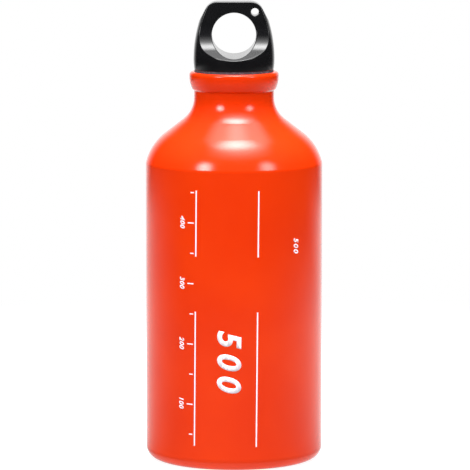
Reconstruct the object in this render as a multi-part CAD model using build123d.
from build123d import *
from math import asin, cos, degrees, radians, sin, sqrt, tan
import os

# Camping fuel bottle: a drawn aluminium bottle with a rolled collar, a threaded ring held in
# the collar, and a moulded screw cap with a carrying loop.
# Millimetres. The bottle stands on z = 0 and its axis is the Z axis. The loop lies in the XZ
# plane, so both of its holes run along Y.

# Bottle body
BODY_DIAMETER = 73.0
WALL = 0.75
STRAIGHT_TOP_HEIGHT = 122.8
FOOT_CORNER_RADIUS = 5.0
FOOT_RING_WIDTH = 2.6
BASE_DOME_RISE = 4.5
SHOULDER_EDGE_RADIUS = 4.0
SHOULDER_EDGE_DEGREES = 14.0
SHOULDER_RADIUS = 21.3
SHOULDER_SLOPE_DEGREES = 52.3
NECK_FILLET_RADIUS = 11.65
NECK_DIAMETER = 33.0
NECK_LAND = 2.7

# Rolled collar at the mouth
COLLAR_STEP = 0.83
COLLAR_STEP_RISE = 0.8
COLLAR_SWELL_RADIUS = 12.0
COLLAR_SWELL_DEGREES = 25.0
LIP_SIDE_HEIGHT = 0.68
LIP_RADIUS = 1.3
CURL_LAND = 0.65

# Threaded ring held by the collar
CRIMP_FIT = 0.05
RING_WALL = 1.85
RING_SKIRT_LENGTH = 5.0
RING_LAND_DEPTH = 0.3
RING_LEAD_CHAMFER = 0.6

# Thread of the ring and of the plug
THREAD_PITCH = 4.0
THREAD_DEPTH = 1.55
THREAD_CREST_WIDTH = 1.0
THREAD_FLANK_DEGREES = 22.0
THREAD_CREST_GAP = 0.25
THREAD_FLANK_GAP = 0.3
THREAD_ROOT_SINK = 0.3
PLUG_THREAD_TURNS = 2.75
RING_THREAD_TURNS = 2.1

# Sealing gasket
GASKET_THICKNESS = 1.15
GASKET_SIDE_GAP = 0.2

# Threaded plug
PLUG_REACH = 15.5
PLUG_WALL = 2.2
PLUG_SPIGOT_HEIGHT = 2.8
PLUG_CROWN_THICKNESS = 1.8
PLUG_NOSE_CHAMFER = 0.5
PLUG_THREAD_LEAD = 1.6
SPIGOT_FIT = 0.05
VENT_GROOVE_WIDTH = 3.2
VENT_GROOVE_DEPTH = 0.4

# Cap with its carrying loop
CAP_SET_BACK = 1.75
CAP_HEIGHT = 28.1
CAP_SKIRT_HEIGHT = 4.3
CAP_SKIRT_DRAFT = 0.3
CAP_EDGE_RADIUS = 0.3
CAP_FLANK_RADIUS = 53.0
CAP_CORNER_RADIUS = 5.8
CAP_CORNER_SLOPE_DEGREES = 27.0
CAP_CORNER_INSET = 0.7
LOOP_TOP_THICKNESS = 9.2
LOOP_DRAFT_DEGREES = 4.0
SCOOP_RADIUS = 13.8
SCOOP_FLOOR_DEGREES = 57.0
SCOOP_LIP_HEIGHT = 4.6
LOOP_FLOOR_HEIGHT = 5.35
LOOP_BAR_THICKNESS = 4.5
LANYARD_HOLE_DIAMETER = 3.2
LANYARD_HOLE_WALL = 2.05
LANYARD_HOLE_DEGREES = 47.8
LOOP_EDGE_RADIUS = 0.5
HOLE_EDGE_RADIUS = 0.4

# Overrun of every cutting tool past the material it cuts
CUT_OVERRUN = 1.0

# Radii and heights that follow from the sizes above
body_radius = BODY_DIAMETER / 2
neck_radius = NECK_DIAMETER / 2
slope = radians(SHOULDER_SLOPE_DEGREES)
edge_lean = radians(SHOULDER_EDGE_DEGREES)
edge_end_radius = body_radius - SHOULDER_EDGE_RADIUS * (1 - cos(edge_lean))
edge_end_height = STRAIGHT_TOP_HEIGHT + SHOULDER_EDGE_RADIUS * sin(edge_lean)
crown_end_radius = edge_end_radius - SHOULDER_RADIUS * (cos(edge_lean) - cos(slope))
crown_end_height = edge_end_height + SHOULDER_RADIUS * (sin(slope) - sin(edge_lean))
fillet_centre_radius = neck_radius + NECK_FILLET_RADIUS
fillet_start_radius = fillet_centre_radius - NECK_FILLET_RADIUS * cos(slope)
fillet_start_height = crown_end_height + (crown_end_radius - fillet_start_radius) / tan(slope)
neck_height = fillet_start_height + NECK_FILLET_RADIUS * sin(slope)

collar_foot = neck_height + NECK_LAND
swell = radians(COLLAR_SWELL_DEGREES)
swell_foot = collar_foot + COLLAR_STEP_RISE
swell_top = swell_foot + COLLAR_SWELL_RADIUS * sin(swell)
lip_centre_height = swell_top + LIP_SIDE_HEIGHT
lip_top = lip_centre_height + LIP_RADIUS
collar_radius = neck_radius + COLLAR_STEP + COLLAR_SWELL_RADIUS * (1 - cos(swell))
lip_centre_radius = collar_radius - LIP_RADIUS
curl_edge_radius = lip_centre_radius - CURL_LAND

ring_land = lip_top - RING_LAND_DEPTH
ring_bottom = collar_foot - RING_SKIRT_LENGTH
ring_inset = WALL + CRIMP_FIT
ring_root_radius = neck_radius - ring_inset - RING_WALL
ring_crest_radius = ring_root_radius - THREAD_DEPTH
plug_core_radius = ring_crest_radius - THREAD_CREST_GAP
plug_crest_radius = ring_root_radius - THREAD_CREST_GAP

cap_base = ring_land + GASKET_THICKNESS
cap_top = cap_base + CAP_HEIGHT
cap_radius = collar_radius - CAP_SET_BACK
finger_hole_radius = (CAP_HEIGHT - LOOP_FLOOR_HEIGHT - LOOP_BAR_THICKNESS) / 2
finger_hole_height = cap_base + LOOP_FLOOR_HEIGHT + finger_hole_radius
lanyard_hole_radius = LANYARD_HOLE_DIAMETER / 2
plug_bottom = cap_base - PLUG_REACH
plug_top = cap_base + PLUG_SPIGOT_HEIGHT
plug_thread_start = plug_bottom + PLUG_THREAD_LEAD
ring_thread_start = plug_thread_start + THREAD_PITCH / 2


def turned(outline):
    """Solid of revolution about the Z axis, from an outline given as radius and height."""
    return revolve(make_face(Plane.XZ * outline), Axis.Z)


def collar_side(inset):
    """Side of the collar from the neck up to the lip, moved in by the inset."""
    step = Line(
        (neck_radius - inset, collar_foot), (neck_radius + COLLAR_STEP - inset, swell_foot)
    )
    bulge = JernArc(
        step @ 1, (sin(swell), cos(swell)), COLLAR_SWELL_RADIUS, COLLAR_SWELL_DEGREES
    )
    return step + bulge + Line(bulge @ 1, (collar_radius - inset, lip_centre_height))


def lip_arc(inset):
    """Quarter round of the lip, moved in by the inset."""
    return JernArc((collar_radius - inset, lip_centre_height), (0, 1), LIP_RADIUS - inset, 90)


def shell_side(inset):
    """Side of the bottle from the foot corner to the neck, moved in by the inset."""
    corner = JernArc(
        (body_radius - FOOT_CORNER_RADIUS, inset), (1, 0), FOOT_CORNER_RADIUS - inset, 90
    )
    straight = Line(corner @ 1, (body_radius - inset, STRAIGHT_TOP_HEIGHT))
    edge = JernArc(straight @ 1, (0, 1), SHOULDER_EDGE_RADIUS - inset, SHOULDER_EDGE_DEGREES)
    edge_way = (-sin(edge_lean), cos(edge_lean))
    crown_size = SHOULDER_SLOPE_DEGREES - SHOULDER_EDGE_DEGREES
    crown = JernArc(edge @ 1, edge_way, SHOULDER_RADIUS - inset, crown_size)
    fillet_radius = NECK_FILLET_RADIUS + inset
    fillet_start = (
        fillet_centre_radius - fillet_radius * cos(slope),
        neck_height - fillet_radius * sin(slope),
    )
    cone = Line(crown @ 1, fillet_start)
    fillet = JernArc(
        cone @ 1, (-sin(slope), cos(slope)), fillet_radius, -SHOULDER_SLOPE_DEGREES
    )
    land = Line(fillet @ 1, (neck_radius - inset, collar_foot))
    return corner + straight + edge + crown + cone + fillet + land


def dome_arc(inset):
    """Inward dome of the base, moved in by the inset, from the axis to the foot ring."""
    foot_inner_radius = body_radius - FOOT_CORNER_RADIUS - FOOT_RING_WIDTH
    sphere = (foot_inner_radius**2 + BASE_DOME_RISE**2) / (2 * BASE_DOME_RISE)
    centre_height = BASE_DOME_RISE - sphere
    radius = sphere + inset
    end_radius = sqrt(radius**2 - (inset - centre_height) ** 2)
    half_radius = end_radius / 2
    half_height = centre_height + sqrt(radius**2 - half_radius**2)
    return ThreePointArc(
        (0, BASE_DOME_RISE + inset), (half_radius, half_height), (end_radius, inset)
    )


def bottle_shell():
    """One drawn sheet from the domed base to the lip that is rolled over the ring."""
    outer_dome = dome_arc(0)
    outer_foot = Line(outer_dome @ 1, (body_radius - FOOT_CORNER_RADIUS, 0))
    inner_dome = dome_arc(WALL)
    inner_foot = Line(inner_dome @ 1, (body_radius - FOOT_CORNER_RADIUS, WALL))
    outer_lip = lip_arc(0)
    inner_lip = lip_arc(WALL)
    curl = Polyline(
        outer_lip @ 1,
        (curl_edge_radius, lip_top),
        (curl_edge_radius, lip_top - WALL),
        inner_lip @ 1,
    )
    outline = outer_dome + outer_foot + shell_side(0) + collar_side(0) + outer_lip
    outline += curl
    outline += inner_lip + collar_side(WALL) + shell_side(WALL) + inner_foot
    outline += inner_dome + Line((0, BASE_DOME_RISE), (0, BASE_DOME_RISE + WALL))
    return turned(outline)


def thread_ridge(root_radius, crest_radius, root_width, crest_width, start, turns):
    """Right-hand helical ridge whose middle starts at the given height over the +X side."""
    ridge = Polyline(
        (root_radius, start - root_width / 2),
        (crest_radius, start - crest_width / 2),
        (crest_radius, start + crest_width / 2),
        (root_radius, start + root_width / 2),
        close=True,
    )
    path = Helix(
        pitch=THREAD_PITCH,
        height=THREAD_PITCH * turns,
        radius=root_radius,
        center=(0, 0, start),
    )
    return sweep(make_face(Plane.XZ * ridge), path=path, is_frenet=True)


def plug_ridge_width(radius):
    """Axial width of the plug's ridge at a radius."""
    return THREAD_CREST_WIDTH + 2 * tan(radians(THREAD_FLANK_DEGREES)) * (plug_crest_radius - radius)


def ring_ridge_width(radius):
    """Axial width of the ring's ridge at a radius: the plug's groove less both flank gaps."""
    return THREAD_PITCH - plug_ridge_width(radius) - 2 * THREAD_FLANK_GAP


def neck_thread_ring():
    """Ring with the female thread, shaped outside like the inside of the collar."""
    side_radius = neck_radius - ring_inset
    skirt_foot = (side_radius, ring_bottom + RING_LEAD_CHAMFER)
    outside = Line(skirt_foot, (side_radius, collar_foot)) + collar_side(ring_inset)
    lip = lip_arc(ring_inset)
    land_radius = curl_edge_radius - CRIMP_FIT
    top = Polyline(
        lip @ 1,
        (land_radius, (lip @ 1).Y),
        (land_radius, ring_land),
        (ring_root_radius + RING_LEAD_CHAMFER, ring_land),
        (ring_root_radius, ring_land - RING_LEAD_CHAMFER),
        (ring_root_radius, ring_bottom + RING_LEAD_CHAMFER),
        (ring_root_radius + RING_LEAD_CHAMFER, ring_bottom),
        (side_radius - RING_LEAD_CHAMFER, ring_bottom),
        skirt_foot,
    )
    sunk_radius = ring_root_radius + THREAD_ROOT_SINK
    ridge = thread_ridge(
        sunk_radius,
        ring_crest_radius,
        ring_ridge_width(sunk_radius),
        ring_ridge_width(ring_crest_radius),
        ring_thread_start,
        RING_THREAD_TURNS,
    )
    return turned(outside + lip + top) + ridge


def sealing_gasket():
    """Flat rubber ring that lies on the ring's land and is pressed by the cap."""
    seat = Plane.XY.offset(ring_land)
    disc = Circle(curl_edge_radius - GASKET_SIDE_GAP) - Circle(plug_core_radius + GASKET_SIDE_GAP)
    return extrude(seat * disc, GASKET_THICKNESS)


def threaded_plug():
    """Hollow stopper with the male thread, closed at the top and fixed in the cap."""
    bore_radius = plug_core_radius - PLUG_WALL
    outline = Polyline(
        (0, plug_top),
        (plug_core_radius, plug_top),
        (plug_core_radius, plug_bottom + PLUG_NOSE_CHAMFER),
        (plug_core_radius - PLUG_NOSE_CHAMFER, plug_bottom),
        (bore_radius, plug_bottom),
        (bore_radius, plug_top - PLUG_CROWN_THICKNESS),
        (0, plug_top - PLUG_CROWN_THICKNESS),
        close=True,
    )
    sunk_radius = plug_core_radius - THREAD_ROOT_SINK
    ridge = thread_ridge(
        sunk_radius,
        plug_crest_radius,
        plug_ridge_width(sunk_radius),
        THREAD_CREST_WIDTH,
        plug_thread_start,
        PLUG_THREAD_TURNS,
    )
    groove_floor = plug_core_radius - VENT_GROOVE_DEPTH
    groove_depth = plug_crest_radius + CUT_OVERRUN - groove_floor
    groove_height = cap_base - GASKET_THICKNESS - plug_bottom
    groove = Pos(0, -groove_floor - groove_depth / 2, plug_bottom + groove_height / 2) * Box(
        VENT_GROOVE_WIDTH, groove_depth, groove_height
    )
    return turned(outline) + ridge - groove


def cap_blank():
    """Domed cap before the loop is cut: the skirt, the curved flanks and the flat top."""
    widest = (cap_radius, cap_base + CAP_SKIRT_HEIGHT)
    skirt_drop = CAP_SKIRT_HEIGHT - CAP_EDGE_RADIUS
    skirt_radius = (skirt_drop**2 + CAP_SKIRT_DRAFT**2) / (2 * CAP_SKIRT_DRAFT)
    skirt = JernArc(widest, (0, -1), skirt_radius, -degrees(asin(skirt_drop / skirt_radius)))
    edge = JernArc(
        (cap_radius - CAP_SKIRT_DRAFT - CAP_EDGE_RADIUS, cap_base), (1, 0), CAP_EDGE_RADIUS, 90
    )
    rise = CAP_HEIGHT - CAP_SKIRT_HEIGHT + CUT_OVERRUN
    flank = JernArc(widest, (0, 1), CAP_FLANK_RADIUS, degrees(asin(rise / CAP_FLANK_RADIUS)))
    top = Polyline(flank @ 1, (0, cap_top + CUT_OVERRUN), (0, cap_base), edge @ 0)
    dome = turned(edge + skirt + flank + top)

    corner_slope = radians(CAP_CORNER_SLOPE_DEGREES)
    corner_drop = CAP_CORNER_RADIUS * (1 - sin(corner_slope))
    flank_rise = CAP_HEIGHT - CAP_SKIRT_HEIGHT - corner_drop
    flank_inset = CAP_FLANK_RADIUS - sqrt(CAP_FLANK_RADIUS**2 - flank_rise**2)
    corner_end_x = cap_radius - flank_inset - CAP_CORNER_INSET
    corner_start_x = corner_end_x - CAP_CORNER_RADIUS * cos(corner_slope)
    corner = JernArc(
        (corner_start_x, cap_top), (1, 0), CAP_CORNER_RADIUS, CAP_CORNER_SLOPE_DEGREES - 90
    )
    drop = (corner @ 1).Y - cap_base + CUT_OVERRUN
    foot_x = corner_end_x + drop * tan(corner_slope)
    side = Polyline(
        corner @ 1, (foot_x, cap_base - CUT_OVERRUN), (0, cap_base - CUT_OVERRUN), (0, cap_top)
    )
    half_front = make_face(Plane.XZ * (Line((0, cap_top), corner @ 0) + corner + side))
    front = half_front + mirror(half_front, Plane.YZ)
    return dome & extrude(front, 2 * cap_radius, both=True)


def scoop():
    """Tool that hollows the front of the cap: the loop's face, a round and a sloping floor."""
    draft = radians(LOOP_DRAFT_DEGREES)
    lean = radians(SCOOP_FLOOR_DEGREES)
    face_reach = LOOP_TOP_THICKNESS / 2
    lip_height = cap_base + SCOOP_LIP_HEIGHT
    face_foot_reach = face_reach + (cap_top - lip_height) * tan(draft)
    corner_rise = (cap_radius - face_foot_reach) / (tan(lean) - tan(draft))
    corner_reach = cap_radius - corner_rise * tan(lean)
    tangent = SCOOP_RADIUS * tan((lean - draft) / 2)
    round_start = (
        corner_reach - tangent * sin(draft),
        lip_height + corner_rise + tangent * cos(draft),
    )
    round_size = SCOOP_FLOOR_DEGREES - LOOP_DRAFT_DEGREES
    hollow = JernArc(round_start, (sin(draft), -cos(draft)), SCOOP_RADIUS, round_size)
    far_reach = cap_radius + CUT_OVERRUN
    head_height = cap_top + CUT_OVERRUN
    rest = Polyline(
        hollow @ 1,
        (far_reach, lip_height - CUT_OVERRUN / tan(lean)),
        (far_reach, head_height),
        (face_reach - CUT_OVERRUN * tan(draft), head_height),
        round_start,
    )
    side_view = Plane(origin=(0, 0, 0), x_dir=(0, -1, 0), z_dir=(-1, 0, 0))
    return extrude(make_face(side_view * (hollow + rest)), 2 * cap_radius, both=True)


def bore_along_y(x, height, radius):
    """Tool for a round hole through the loop from front to back."""
    return Pos(x, 0, height) * Rot(90, 0, 0) * Cylinder(radius, 4 * cap_radius)


def rounded_rim(loop):
    """Loop with a small round along both edges where the scoops meet the outside."""
    edges = loop.edges().filter_by(lambda edge: abs(edge.center().Y) > LOOP_TOP_THICKNESS / 4)
    level = edges.filter_by(Plane.XY)
    rim = edges.filter_by(lambda edge: edge not in level) + level.group_by(Axis.Z)[-1]
    return fillet(rim, LOOP_EDGE_RADIUS)


def rounded_hole(loop, x, height, radius):
    """Loop with a hole along Y whose two mouths are rounded."""
    drilled = loop - bore_along_y(x, height, radius)
    walls = drilled.faces().filter_by(GeomType.CYLINDER)
    wall = walls.sort_by(lambda face: abs(face.radius - radius))[0]
    mouths = [
        edge
        for face in walls
        if face.radius == wall.radius
        for edge in face.edges().filter_by(GeomType.LINE, reverse=True)
    ]
    return fillet(mouths, HOLE_EDGE_RADIUS)


def cap_loop():
    """Cap with its loop, finger hole, lanyard hole and the socket of the plug."""
    tool = scoop()
    loop = rounded_rim(cap_blank() - tool - mirror(tool, Plane.XZ))
    loop = rounded_hole(loop, 0, finger_hole_height, finger_hole_radius)
    reach = finger_hole_radius + LANYARD_HOLE_WALL + lanyard_hole_radius
    turn = radians(LANYARD_HOLE_DEGREES)
    loop = rounded_hole(
        loop, reach * cos(turn), finger_hole_height + reach * sin(turn), lanyard_hole_radius
    )
    socket = Circle(plug_core_radius + SPIGOT_FIT)
    return loop - extrude(Plane.XY.offset(cap_base) * socket, PLUG_SPIGOT_HEIGHT)


def main():
    """Write each piece to its own file."""
    os.makedirs("parts", exist_ok=True)
    pieces = {
        "bottle_shell": bottle_shell(),
        "neck_thread_ring": neck_thread_ring(),
        "sealing_gasket": sealing_gasket(),
        "threaded_plug": threaded_plug(),
        "cap_loop": cap_loop(),
    }
    for name, shape in pieces.items():
        export_step(shape, f"parts/{name}.step")


main()
